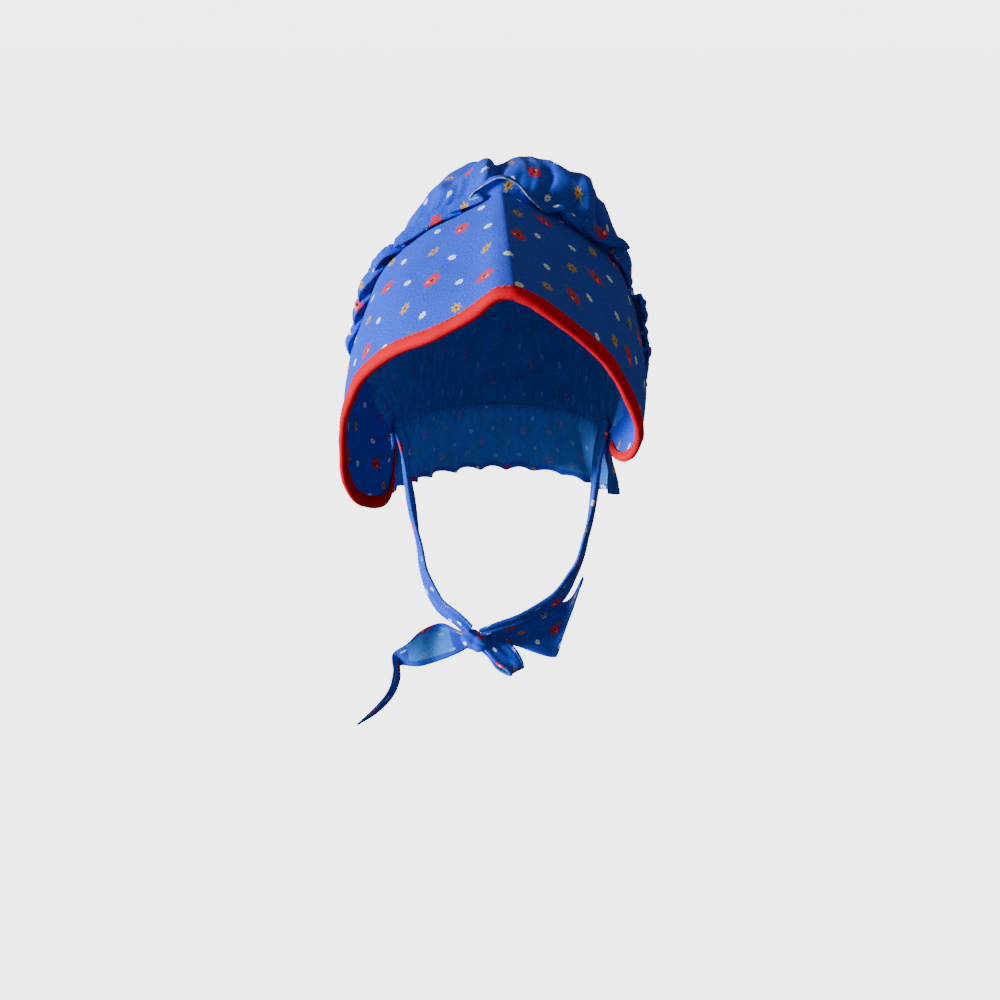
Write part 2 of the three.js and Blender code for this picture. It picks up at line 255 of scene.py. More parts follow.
class Maker:
    def __init__(self, holder):
        # the holder is a new material or world, emptied for its own nodes
        holder.use_nodes = True
        self.holder = holder
        self.tree = holder.node_tree
        self.tree.nodes.clear()

    def node(self, kind, settings=None, sockets=None, output=0):
        made = self.tree.nodes.new(kind)
        for key, value in (settings or {}).items():
            setattr(made, key, value)
        pairs = sockets.items() if isinstance(sockets, dict) else enumerate(sockets or [])
        for key, value in pairs:
            if isinstance(value, Value):
                self.tree.links.new(value.socket, made.inputs[key])
            else:
                made.inputs[key].default_value = value
        return Value(self, made.outputs[output]) if len(made.outputs) else None

    def blend(self, share, first, second):
        # a mix of two colours, which are the Mix node's sockets 6 and 7
        return self.node("ShaderNodeMix", {"data_type": "RGBA"},
                         {0: share, 6: self.colour(first), 7: self.colour(second)}, output=2)

    def colour(self, value):
        return value if isinstance(value, Value) else (*value, 1)

    def clothPlace(self):
        return self.node("ShaderNodeAttribute", {"attribute_name": "clothPlace"}, output=1)

    def parts(self, vector):
        split = self.node("ShaderNodeSeparateXYZ", None, [vector])
        return [Value(self, split.socket.node.outputs[k]) for k in range(3)]

    def scaled(self, vector, scale):
        return self.node("ShaderNodeVectorMath", {"operation": "MULTIPLY"}, [vector, scale])

    def noise(self, vector, scale, detail=2.0, roughness=0.5):
        return self.node("ShaderNodeTexNoise", None,
                         {"Vector": vector, "Scale": scale, "Detail": detail, "Roughness": roughness})

    def cloth(self, colour, height, relief, roughness, specular, sheen=0.0):
        # a cloth surface with its threads in relief, the relief in metres
        bump = self.node("ShaderNodeBump", None, {"Strength": 0.4, "Distance": relief, "Height": height})
        shader = self.node("ShaderNodeBsdfPrincipled", None, {
            "Base Color": colour,
            "Roughness": roughness,
            "Specular IOR Level": specular,
            "Sheen Weight": sheen,
            "Normal": bump,
        })
        self.node("ShaderNodeOutputMaterial", None, {"Surface": shader})
        return self.holder


# Calico: the flat place of every thread gives weave and print. Sizes in millimetres.
# The print is a lattice with one red flower, one ochre flower and two small white ones in each cell.
calico = dict(
    stepA=(27.5, 24.0), stepB=(44.5, -10.0), start=(-21.9, 21.5), mostTurn=2.6,
    thread=0.42, raggedEdge=0.55, wobble=0.8,
    blue=(0.004, 0.026, 0.400), blueLight=(0.022, 0.094, 0.940), blueDeep=(0.008, 0.030, 0.300),
    chalk=(0.035, 0.210, 0.700), chalkLight=(0.070, 0.310, 0.860), leaf=(0.085, 0.170, 0.030),
    slubs=0.35, leafInk=0.95, ghost=0.22, worn=0.16,
    relief=0.00013, roughness=0.86, specular=0.15, sheen=0.03,
)
# petals: how many, their middle, half length and half width; edge, core and eye: where a fade
# starts and ends; leaves: place beside the flower, angle, half length and half width
redFlower = dict(
    offset=(0, 0), salt=1.0, squash=0.84, petals=(8, 3.05, 1.95, 1.26), edge=(1.08, 0.86), core=(1.9, 1.6),
    colour=(0.58, 0.014, 0.040), deep=(0.42, 0.008, 0.020), deepening=(0.35, 0.95, 0.75),
    dark=(0.10, 0.002, 0.015), eye=(1.1, 0.75),
    blush=(0.85, 0.42, 0.40), fleck=(1.7, 1.5), fleckSize=(1.25, 0.75), ring=(1.25, 1.45, 1.95, 1.75),
    leaves=[(-5.9, 1.7, 0.35, 2.0, 0.50), (-5.2, 3.7, 1.0, 1.8, 0.46), (5.9, -2.1, 0.5, 1.8, 0.45)],
)
ochreFlower = dict(
    offset=(-15.5, 9.5), salt=2.0, squash=0.78, petals=(7, 2.1, 1.6, 0.74), edge=(1.1, 0.82),
    core=(1.25, 0.95), colour=(0.52, 0.33, 0.012), deep=(0.36, 0.17, 0.008), deepening=(0.4, 1.0, 0.5),
    dark=(0.15, 0.035, 0.003), eye=(1.0, 0.7),
    leaves=[(4.4, 1.6, 0.5, 2.0, 0.52), (-4.5, -1.3, 0.3, 2.1, 0.52),
            (3.8, -2.1, -0.7, 1.7, 0.45), (-3.4, 2.5, -0.9, 1.6, 0.42)],
)
whiteFlower = dict(squash=0.8, petals=(7, 1.42, 0.98, 0.70), edge=(1.12, 0.8), colour=(0.72, 0.88, 0.94))
motifs = [
    redFlower,
    ochreFlower,
    dict(whiteFlower, offset=(-13.5, -10.0), salt=3.0),
    dict(whiteFlower, offset=(11.0, -11.0), salt=4.0),
]


def motifPlace(maker, u, v, motif):
    # the place on the axes of the nearest copy of a motif, which is turned a little differently in
    # each cell of the lattice, and the distance from its middle
    (au, av), (bu, bv) = calico["stepA"], calico["stepB"]
    cross = au * bv - av * bu
    du = u - (calico["start"][0] + motif["offset"][0])
    dv = v - (calico["start"][1] + motif["offset"][1])
    s = du * (bv / cross) - dv * (bu / cross)
    t = dv * (au / cross) - du * (av / cross)
    rowS, rowT = s.math("ROUND"), t.math("ROUND")
    fs, ft = s - rowS, t - rowT
    x, y = fs * au + ft * bu, fs * av + ft * bv
    cell = maker.node("ShaderNodeCombineXYZ", None, [rowS, rowT, motif["salt"]])
    luck = maker.node("ShaderNodeTexWhiteNoise", {"noise_dimensions": "3D"}, {"Vector": cell})
    turn = luck * calico["mostTurn"]
    cosine, sine = turn.math("COSINE"), turn.math("SINE")
    px, py = x * cosine + y * sine, (y * cosine - x * sine) / motif["squash"]
    return px, py, (px * px + py * py).math("SQRT")


def petalShape(px, py, distance, count, middle, long, wide):
    # how far a point is out of its nearest petal: below 1 is inside
    sector = 2 * math.pi / count
    share = py.math("ARCTAN2", px) / sector
    offset = (share - share.math("ROUND")) * sector
    along = (distance * offset.math("COSINE") - middle) / long
    across = distance * offset.math("SINE") / wide
    return (along * along + across * across).math("SQRT")


def leafMask(px, py, x, y, angle, long, wide):
    # a slim leaf at a place beside a flower
    c, s = math.cos(angle), math.sin(angle)
    dx, dy = px - x, py - y
    along = (dx * c + dy * s) / long
    across = (dy * c - dx * s) / wide
    return (along * along + across * across).fade(1.15, 0.75)


def printed(maker, colour, u, v, motif):
    # the motif over the cloth's colour: leaves, petals, and in the larger flowers a dark eye
    px, py, distance = motifPlace(maker, u, v, motif)
    petal = petalShape(px, py, distance, *motif["petals"])
    mask, tone = petal.fade(*motif["edge"]), motif["colour"]
    if "eye" in motif:
        low, high, most = motif["deepening"]
        mask = mask.biggest(distance.fade(*motif["core"]))
        tone = maker.blend(petal.fade(low, high) * most, tone, motif["deep"])
        tone = maker.blend(distance.fade(*motif["eye"]), tone, motif["dark"])
    if "blush" in motif:
        dx, dy = px - motif["fleck"][0], py - motif["fleck"][1]
        fleck = (dx * dx + dy * dy * 2.0).math("SQRT").fade(*motif["fleckSize"])
        ring = distance.fade(*motif["ring"][:2]) * distance.fade(*motif["ring"][2:])
        tone = maker.blend(fleck.biggest(ring * 0.3) * 0.85, tone, motif["blush"])
    if "leaves" in motif:
        leaves = reduce(Value.biggest, [leafMask(px, py, *leaf) for leaf in motif["leaves"]])
        colour = maker.blend(leaves * calico["leafInk"], colour, calico["leaf"])
    return maker.blend(mask, colour, tone)


def calicoFinish():
    maker = Maker(bpy.data.materials.new("printedCotton"))
    place = maker.clothPlace()
    u, v, side = maker.parts(place)
    warp, weft = ((way * (2 * math.pi / calico["thread"])).math("SINE") for way in (u, v))
    slubs = (maker.noise(maker.scaled(place, (2.2, 0.5, 1)), 1.0, 3.0)
             + maker.noise(maker.scaled(place, (0.45, 2.4, 1)), 1.0, 3.0))
    fine = maker.noise(place, 1.5, 3.0, 0.75)
    colour = maker.blend(fine.fade(0.38, 0.64), calico["blue"], calico["blueLight"])
    colour = maker.blend(slubs.fade(0.85, 1.35) * calico["slubs"], colour, calico["blueLight"])

    # the print, with edges that follow the threads raggedly
    up = u + (maker.noise(place, 1.6) - 0.5) * calico["raggedEdge"]
    vp = v + (maker.noise(place, 0.7, 1.0) - 0.5) * calico["wobble"]
    for motif in motifs:
        colour = printed(maker, colour, up, vp, motif)

    # the unprinted side is chalky, and the print only ghosts through
    chalk = maker.blend(fine.fade(0.34, 0.68), calico["chalk"], calico["chalkLight"])
    colour = maker.blend(side, colour, maker.blend(calico["ghost"], chalk, colour))

    # softly worn tone over the whole cloth, then thread relief
    shade = maker.noise(place, 0.05, 3.0)
    colour = maker.blend(shade.fade(0.35, 0.75) * calico["worn"], colour, calico["blueDeep"])
    height = warp * weft * 0.5 + fine * 1.2 + slubs * 0.8
    return maker.cloth(colour, height, calico["relief"], calico["roughness"], calico["specular"],
                       calico["sheen"])


# Plain dyed tape, with diagonal ribs as it is cut on the bias
tape = dict(
    red=(0.500, 0.0003, 0.014), redLight=(0.650, 0.0008, 0.020), redDeep=(0.38, 0.0003, 0.010),
    rib=0.55, relief=0.00015, roughness=0.85, specular=0.04,
)


def bindingFinish():
    maker = Maker(bpy.data.materials.new("redBinding"))
    place = maker.clothPlace()
    u, v = maker.parts(place)[:2]
    diagonal, counter = ((way * (2 * math.pi / tape["rib"])).math("SINE") for way in (u + v, u - v))
    fine = maker.noise(place, 1.7, 3.0, 0.65)
    broad = maker.noise(place, 0.12, 3.0)
    colour = maker.blend(fine.fade(0.35, 0.7), tape["red"], tape["redLight"])
    colour = maker.blend(broad.fade(0.4, 0.8) * 0.3, colour, tape["redDeep"])
    height = diagonal * counter * 0.4 + fine * 1.3
    return maker.cloth(colour, height, tape["relief"], tape["roughness"], tape["specular"])


def threadFinish(name, colour, light):
    maker = Maker(bpy.data.materials.new(name))
    twist = maker.noise(maker.node("ShaderNodeTexCoord", output=3), 320.0, 3.0)
    return maker.cloth(maker.blend(twist.fade(0.35, 0.7), colour, light), twist, 0.0001, 0.7, 0.3)


printedCotton = calicoFinish()
redBinding = bindingFinish()
redThread = threadFinish("redThread", (0.55, 0.01, 0.02), (0.8, 0.04, 0.05))
blueThread = threadFinish("blueThread", (0.02, 0.07, 0.28), (0.06, 0.15, 0.45))
paleThread = threadFinish("paleThread", (0.10, 0.24, 0.52), (0.62, 0.66, 0.60))
print("finishes made")


# Brim: a doubled stiff sheet with a crease from the seam to the front
brim = dict(
    middleX=-2.0, cornerHeight=-137.0, cornerReach=6.0, seamTurn=-2.0,
    # right half of the seam: across and up
    seam=[(0, 7), (19, -3), (36, -11), (46, -18), (56, -26), (63, -34), (68, -44), (72.5, -55),
          (76.5, -68), (79, -82), (79, -98), (75, -116), (67, -131)],
    # free edge from the crease to the corner
    leftEdge=[(4, -108, -16.4), (-2.5, -107.6, -17.2), (-12, -106, -25.0), (-29, -101, -36),
              (-47, -92, -46), (-59, -85, -56), (-67, -80, -65), (-73, -75, -76), (-79, -71, -90),
              (-82, -69, -107), (-84, -64, -128), (-80, -54, -148), (-70, -38, -159), (-67, -21, -156),
              (-68, -8, -146)],
    rightEdge=[(4, -108, -16.4), (12, -107, -20.2), (29, -101, -34), (44, -92, -50), (56, -81, -70),
               (66, -68, -92), (69.6, -57, -107), (69.8, -44, -122), (67.2, -33, -131), (65, -20, -136),
               (64.4, -8, -137)],
    bow=3.0, inset=2.3, seamGap=0.9, thickness=1.7, lines=240, points=46,
    waves=[(26, 30, 0.9, 3), (9, 12, 0.25, 4)],
    tuckBack=2.4, tuckIn=1.5, tuckFlat=3.0,      # the first row goes back under the crown's edge
)
seamLine = spline([(across, height - brim["cornerHeight"]) for across, height in brim["seam"]])
edgeLines = {-1: spline(brim["leftEdge"]), 1: spline(brim["rightEdge"])}


def turned(across, reach, turn):
    # a point of a section that has turned back round the axis through the lower corners
    angle = np.radians(turn)
    return joined(brim["middleX"] + across, reach * np.sin(angle),
                  brim["cornerHeight"] + reach * np.cos(angle))


def brimGrid(places, depths):
    grid = np.zeros((len(places), len(depths), 3))
    for i, place in enumerate(places):
        side, share = (-1 if place < 0 else 1), abs(place)
        seamShare = share + share**2 * (1 - share)      # the seam runs ahead of the free edge
        across, reach = byLength(seamLine, [seamShare])[0]
        start = turned(side * across, reach, brim["seamTurn"]) - [0, brim["seamGap"], 0]
        edge = byLength(edgeLines[side], [share])[0]
        edge = edge + brim["inset"] * unit(start - edge)
        out = unit(np.array([side * share, 0, 1 - share]))
        bow = brim["bow"] * math.sin(math.pi * share) * np.sin(math.pi * depths)
        grid[i] = start + (edge - start) * depths[:, None] + out * bow[:, None]
    return grid


def makeBrim():
    places = np.linspace(1, -1, brim["lines"] + 1)
    depths = np.linspace(0, 1, brim["points"] + 1)
    grid = brimGrid(places, depths)
    along = travelled(grid)
    flat = joined(along[brim["lines"] // 2] - along, travelled(grid.swapaxes(0, 1)).T)
    calm = np.sin(np.pi * depths)[None, :] * smoothStep(0, 0.06, np.abs(places))[:, None]
    waves = layeredNoise(flat[..., 0], flat[..., 1], brim["waves"]) * calm
    grid = grid + gridNormals(grid) * waves[..., None]
    back = unit(grid[:, 0] - grid[:, 1])
    tuck = grid[:, 0] + back * brim["tuckBack"] - gridNormals(grid)[:, 0] * brim["tuckIn"]
    whole = np.concatenate([tuck[:, None], grid], 1)
    wholeFlat = np.concatenate([flat[:, :1] - [0, brim["tuckFlat"]], flat], 1)
    return sheetMesh("brimSheet", whole, brim["thickness"], wholeFlat, printedCotton), grid


brimPiece, brimPoints = makeBrim()
print("brim made")


# Edge binding: a bias strip folded over the brim's edge, with its row of stitches
binding = dict(
    width=4.9, share=0.6, clear=1.5, thickness=0.9, fold=3.0,
    # one side of the strip: how far in from the edge, in widths, and how far out, in clearances
    side=[(1.0, 0.78), (0.93, 0.96), (0.80, 0.88), (0.66, 1.02), (0.48, 1.08), (0.3, 1.10), (0.12, 1.04)],
    foldDegrees=(60, 30, 0, -30, -60), foldForward=0.95, foldOut=1.06,
    puckers=[(3.1, 1, 0.22, 11), (9.0, 1, 0.22, 12)], sidePucker=0.6, foldPucker=0.4,
    stitchIn=0.80, stitchOut=0.88, threadRadius=0.22,
    stitch=dict(every=2.6, long=1.7, margins=(4.0, 4.0), arch=(0.25, 0.52, 0.52, 0.25)),
)


def makeBinding():
    edge, normals = brimPoints[:, -1], gridNormals(brimPoints)[:, -1]
    inward = unit(brimPoints[:, -3] - edge)
    along = unit(np.gradient(edge, axis=0))
    forward = -unit(inward - along * np.sum(inward * along, -1, keepdims=True))
    depth = np.linalg.norm(brimPoints[:, 0] - edge, axis=-1)
    width, clear, fold = binding["width"], binding["clear"], binding["fold"]
    arm = np.minimum(width, binding["share"] * depth)
    reach = travelled(edge)
    pucker = layeredNoise(reach, 0, binding["puckers"])
    sides = {1: [], -1: []}
    for face, rows in sides.items():
        for into, out in binding["side"]:
            lift = face * out * clear * (1 + pucker * binding["sidePucker"])
            rows.append(edge + inward * (into * arm)[:, None] + normals * lift[:, None])
    swell = clear * (1 + pucker * binding["foldPucker"])
    bend, across = [], [(1 - into) * width for into, out in binding["side"]]
    for degrees in binding["foldDegrees"]:
        angle = math.radians(degrees)
        bend.append(edge + forward * (math.cos(angle) * swell * binding["foldForward"])[:, None]
                    + normals * (math.sin(angle) * swell * binding["foldOut"])[:, None])
        across.append(width + (60 - degrees) / 120 * fold)
    across += [width + fold + into * width for into, out in reversed(binding["side"])]
    grid = np.stack(sides[1] + bend + sides[-1][::-1], 1)
    flat = joined(reach[:, None], np.array(across)[None, :])
    piece = sheetMesh("edgeBindingTape", grid, binding["thickness"], flat, redBinding)
    seam = edge + inward * (binding["stitchIn"] * arm)[:, None]
    paths = stitchPaths(seam, normals, clear * binding["stitchOut"], binding["stitch"], reach)
    return piece, tubeMesh("bindingStitches", paths, binding["threadRadius"], redThread)


bindingPiece, bindingStitches = makeBinding()
print("binding made")


# Crown: a gathered bag; sections turn back round the axis through the lower corners
crown = dict(
    turn=[-2, 2, 8, 20, 34, 48, 62, 76, 90, 99],
    reach=[144, 151, 155.5, 158, 156, 147, 131, 110, 90, 80],
    half=[79, 79, 80, 81, 81, 79, 76, 72, 69, 67],
    leftSquare=[2.1, 1.95, 1.95, 2.0, 2.1, 2.1, 2.2, 2.2, 2.2, 2.2],
    rightSquare=[2.7, 2.7, 2.7, 2.6, 2.5, 2.4, 2.3, 2.3, 2.2, 2.2],
    fullness=[0, 0.7, 1, 1, 1, 1, 1, 1, 1, 1],
    valley=[0, 2, 4.5, 4, 1, 0, 0, 0, 0, 0], valleyPlace=-3, valleyWidth=7,
    thickness=1.1, lines=388, points=118, crowding=1.2, halfSeam=178.0, measuredRow=20,
    ease=1.25, seamFlat=9.0,      # gathered length of the flat cloth, and its turning at the seam
    drift=[(19, 55, 4.0, 21), (50, 90, 6.0, 22)], crumple=[(15, 14, 0.9, 23), (7, 7, 0.3, 24)],
    # gathers that run in from an edge: spacing, share of the drift, height and fade of fine and
    # broad pleats, then of soft creases
    seamGathers=dict(
        fine=5.9, fineDrift=1.0, fineHigh=1.9, fineFade=11,
        broad=13.7, broadDrift=1.4, broadPhase=0.3, broadHigh=1.6, broadFade=26,
        seed=61, creaseHigh=2.4, creaseStart=3, creaseFade=80,
    ),
    napeGathers=dict(
        fine=5.3, fineDrift=0.5, fineHigh=2.3, fineFade=12,
        broad=11.4, broadDrift=-1.0, broadPhase=0.6, broadHigh=3.0, broadFade=34,
        seed=71, creaseHigh=3.0, creaseStart=4, creaseFade=75,
    ),
    uneven=[(26, 60, 0.45, 25)], unevenMiddle=0.75,      # how strong the gathers are
    calmPlace=-0.25, calmWidth=0.2,      # the smooth cloth of the left lobe
    dents=4.2, dentFloor=0.25, seamDents=(17, 14), napeDents=(15, 14), ridges=1.5,
    # where moves fade in, in mm from an edge, and where they fade out towards the corners
    rimCalm=2.5, foldStart=8, crumpleStart=(4, 25), cornerCalm=(0.86, 0.985),
    # sunken stretches: place along the seam, width, depth
    sunken=[(0.10, 0.08, 2.4), (0.42, 0.10, 3.2)], sunkenStart=(2, 18), sunkenFade=80,
    # soft folds: start and end as place along the seam and depth from it in mm, half width, height
    folds=[
        (-0.05, 1, -0.07, 46, 5.5, 4.4), (-0.012, 0, -0.02, 40, 2.6, -3.4), (-0.17, 2, -0.15, 44, 9, -3.6),
        (-0.27, 6, -0.20, 34, 4, -1.6), (-0.38, 3, -0.31, 38, 6, 2.0), (-0.46, 4, -0.40, 30, 4, -2.0),
        (0.10, 1, 0.09, 34, 4, 0.8), (0.135, 2, 0.13, 30, 3, -2.2), (0.17, 2, 0.18, 44, 6, 1.0),
        (0.235, 2, 0.25, 26, 4, -2.4), (0.28, 2, 0.27, 44, 7, 3.2), (0.36, 4, 0.35, 36, 4, -2.2),
        (0.42, 2, 0.41, 48, 5, 0.6), (0.52, 4, 0.49, 40, 5, -1.6), (-0.58, 4, -0.52, 46, 6, 2.2),
    ],
)


def crownColumn(name, turn):
    # a smooth curve through the table's column
    line = spline(np.column_stack([crown["turn"], crown[name]]), 16)
    return np.interp(turn, line[:, 0], line[:, 1])


def crownPoint(place, turn):
    # across and reach at a place from -1 to 1 and an angle, both arrays
    share, side = np.abs(place), np.sign(place)
    seam = byLength(seamLine, share)
    corner, low = seamLine[-1], brim["cornerReach"]
    square = 2 / np.where(side < 0, crownColumn("leftSquare", turn), crownColumn("rightSquare", turn))
    angle = share * math.pi / 2
    half = crownColumn("half", turn)
    across = half * np.sin(angle) ** square - (half - corner[0]) * share**5
    reach = low + (crownColumn("reach", turn) - low) * np.maximum(np.cos(angle), 0) ** square
    full = np.clip(crownColumn("fullness", turn), 0, 1)
    across = side * (seam[..., 0] * (1 - full) + across * full)
    reach = seam[..., 1] * (1 - full) + reach * full
    valley = np.maximum(crownColumn("valley", turn), 0)
    return across, reach - valley * bell(across - crown["valleyPlace"], crown["valleyWidth"])


def pleats(phase):
    # rounded tops with sharp valleys between them, from -0.5 to 0.5
    return np.abs(np.sin(phase * math.pi)) ** 0.8 - 0.5


def creases(along, down, seed):
    # soft ridges that run away from a gathered edge
    drift = softNoise(along / 25, down / 30, seed) * 0.8
    lump = softNoise(along / 10 + drift, down / 60, seed + 1)
    return (1 - 2 * np.abs(lump)) * 0.8


def gathers(along, away, drift, table, calm=0.0):
    # the folds of one gathered edge, by the distance away from it
    fine = pleats((along + drift * table["fineDrift"]) / table["fine"])
    broad = pleats((along + drift * table["broadDrift"]) / table["broad"] + table["broadPhase"])
    fineHigh = table["fineHigh"] * np.exp(-away / table["fineFade"])
    broadHigh = table["broadHigh"] * smoothStep(0, 12, away) * np.exp(-away / table["broadFade"])
    creaseHigh = table["creaseHigh"] * smoothStep(table["creaseStart"], 26, away)
    creaseHigh = creaseHigh * np.exp(-away / table["creaseFade"])
    return (fine * fineHigh + broad * broadHigh * (1 - 0.7 * calm)
            + creases(along, away, table["seed"]) * creaseHigh * (1 - 0.6 * calm))


def foldHeight(place, down):
    # the table's folds, each a bell across a line that leaves the seam
    total = np.zeros(down.shape)
    length = crown["halfSeam"]
    for p0, d0, p1, d1, wide, high in crown["folds"]:
        run = np.array([(p1 - p0) * length, d1 - d0])
        x, y = (place - p0) * length, down - d0
        t = np.clip((x * run[0] + y * run[1]) / (run @ run), 0, 1)
        total = total + high * bell(np.hypot(x - t * run[0], y - t * run[1]), wide) * (1 - 0.5 * t)
    return total


def makeCrown():
    lines, points = crown["lines"], crown["points"]
    first, last = crown["turn"][0], crown["turn"][-1]
    depth = np.linspace(0, 1, points + 1)[None, :]
    place, turn = np.broadcast_arrays(np.linspace(-1, 1, lines + 1)[:, None],
                                      first + (last - first) * depth ** crown["crowding"])
    base = turned(*crownPoint(place, turn), turn)
    along, down = np.broadcast_arrays(travelled(base[:, crown["measuredRow"]])[:, None],
                                      travelled(base.swapaxes(0, 1)).T)
    up = down[:, -1:] - down
    drift = layeredNoise(along, down, crown["drift"])
    uneven = crown["unevenMiddle"] + layeredNoise(along, down, crown["uneven"])
    calm = bell(place - crown["calmPlace"], crown["calmWidth"])
    folds = uneven * (gathers(along, down, drift, crown["seamGathers"], calm)
                      + gathers(along, up, drift, crown["napeGathers"]))
    # small sharp dents where the cloth is drawn up, then broad ridges
    dents = np.maximum(softNoise(along / 6.5 + drift / 9, down / 11, 26) - crown["dentFloor"], 0)
    drawn = sum(bell(way - middle, width) for way, (middle, width) in (
        (down, crown["seamDents"]), (up, crown["napeDents"])))
    ridges = 1 - np.abs(softNoise(along / 22 + down / 41, down / 26 - along / 47, 27)) * 2
    crumple = (layeredNoise(along, down, crown["crumple"]) - crown["dents"] * dents * drawn
               + crown["ridges"] * ridges)
    sunk = sum(deep * bell(place - middle, wide) for middle, wide, deep in crown["sunken"])
    sunk = sunk * smoothStep(*crown["sunkenStart"], down) * bell(down, crown["sunkenFade"])
    # the corners and both edges stay in place
    corner = 1 - smoothStep(*crown["cornerCalm"], np.abs(place))
    rimCalm = smoothStep(0, crown["rimCalm"], down) * smoothStep(0, crown["rimCalm"], up)
    push = (folds + foldHeight(place, down) * smoothStep(0, crown["foldStart"], down)
            + crumple * smoothStep(*crown["crumpleStart"], np.minimum(down, up)) - sunk) * corner * rimCalm
    grid = base + gridNormals(base) * push[..., None]
    flat = joined((along - along[lines // 2, 0]) * crown["ease"], down - crown["seamFlat"])
    return sheetMesh("crownCloth", grid, crown["thickness"], flat, printedCotton, reverse=1.0)


crownPiece = makeCrown()
print("crown made")


# Frill: the crown's own heading, crushed forward over the seam in uneven pleats, with a rolled pale hem
frill = dict(
    thickness=0.8, lines=1000, points=18, footForward=-1.8, footOut=0.5, ridgeForward=5.4, ridgeWidth=13,
    paleHem=(-11, 22), thread=0.36, ease=1.05, height=12, seamFlat=4,
    crumple=[(3.2, 0.4, 0.5, 33), (8.0, 2 / 3, 0.7, 34)], sideCrumple=1.1,
    # crushed side pleats: middle along the seam in mm from the crease, width, height
    leftPleats=[(-171, 11, 2.6), (-158, 15, 4.6), (-142, 16, 6.0), (-126.5, 14, 5.2), (-111, 16, 7.2),
                (-95.5, 13, 6.2), (-81, 15, 7.6), (-65, 15, 7.0)],
    rightPleats=[(76, 14, 2.8), (96, 13, 6.0), (111, 16, 2.9), (129, 18, 3.6), (147, 15, 3.2),
                 (163, 14, 2.8)],
    # rows of a side pleat: place in widths, shoulder forward in mm and out in heights, hem forward
    # in mm and out in heights, and how far the hem is pushed to the right, in widths.
    # The left ones lie forward, each over the one before, and gape over a dark hollow
    lying=[
        (-0.50, -1.0, 0.85, 2.8, 0.22, -0.08), (-0.40, -1.6, 1.30, 3.6, 0.74, -0.40),
        (-0.14, -2.0, 1.50, 4.6, 0.84, -0.14), (0.16, -1.8, 1.32, 4.7, 0.46, 0.10),
        (0.40, -0.8, 0.85, 3.0, 0.12, 0.28),
    ],
    # the right ones stand up, with a flat back, and are folded under
    standing=[
        (-0.36, -1.5, 1.35, 1.0, 0.85, -0.16), (-0.10, -1.5, 1.50, 2.0, 0.92, 0.02),
        (0.20, -1.0, 1.40, 3.6, 0.80, 0.20), (0.36, -0.5, 1.20, 4.6, 0.62, 0.24),
        (0.46, 0.0, 0.80, 4.2, 0.48, -0.02),
    ],
    valley=(-0.5, 3.5, 1.6, 2.5, 0),      # between two standing pleats, in mm
    # folds of the middle: place along the seam in mm, forward and outward of the shoulder,
    # forward and outward of the hem, and how far the hem is pushed to the right
    folds=[
        (-54, -1.4, 9, 4.2, 5.0, -5.5), (-51, -2, 11, 4.8, 3.8, -2), (-46, -2, 11, 4.8, 2.8, -0.5),
        (-40, -2, 11, 4.6, 2.6, 0), (-30, -2, 11, 4.8, 2.5, 0), (-24.5, -1, 8.5, 4.2, 1.7, 3),
        (-22.5, -1.4, 9, 4.6, 4.4, -4.5), (-18, -2, 10, 5.4, 3.2, 0), (-13, -1, 8, 5.8, 2.2, 4),
        (-10.5, -1, 7, 4.8, 4.2, 0), (-9, -2, 8, 3.5, 5, -6), (-7, -2, 9, 3, 6.6, -5.5),
        (-4, -2, 8.5, 3, 7.4, -2), (0, -2, 8.5, 3, 7.4, 0), (5, -2, 8.5, 2.6, 7.2, 1),
        (9, -2, 7.5, 2.4, 5.6, 1), (14, -2, 6.5, 2.4, 4.0, 1), (20, -1, 5, 2.6, 2.4, 1.5),
        (25, -1, 6, 2.6, 2.2, 0), (29, -2, 10, 1, 6, 3), (33, -1, 8, 3.4, 3, 0.5),
        (35.5, -0.6, 6.5, 2.6, 1.6, 3.5), (37, -1.2, 9.5, 4.6, 4.6, -3.5), (40.5, -1, 9.5, 4.4, 3.2, 0.5),
        (44, -0.6, 7.5, 3.0, 1.8, 4), (45.5, -1.6, 12, 4.4, 5.2, -3.5), (49, -2, 13, 3.8, 3.6, 1),
        (52.5, -3, 14, 2.4, 6, 8), (56, -2, 13, 1, 10.5, 12.5), (59, -2, 10, -0.5, 8, 9),
        (62, -1, 6, 1, 4, 3), (65, 0, 3.4, 1.8, 2.4, 0),
    ],
)


def pleatRows(pleatList, shape, valley=None):
    # the shape's rows for every pleat, with a valley before each where there is one
    rows = []
    for middle, width, high in pleatList:
        if valley:
            rows.append((middle - 0.5 * width, *valley))
        rows += [(middle + place * width, back, out * high, hem, hemOut * high, push * width)
                 for place, back, out, hem, hemOut, push in shape]
    return rows


def frillRows(seamReach):
    # all folds along the frill, as a dense line fitted to the real seam
    full = crown["halfSeam"]
    rows = np.array(
        [(-full, 0, 2, 1, 2.2, 0), *pleatRows(frill["leftPleats"], frill["lying"]),
         *frill["folds"],
         *pleatRows(frill["rightPleats"], frill["standing"], frill["valley"]),
         (full, 0, 2, 1, 2.2, 0)], float)
    rows[:, 0] *= min(-seamReach[0], seamReach[-1]) / full
    return byKnot(spline(rows), np.linspace(0, 1, frill["lines"] + 1))


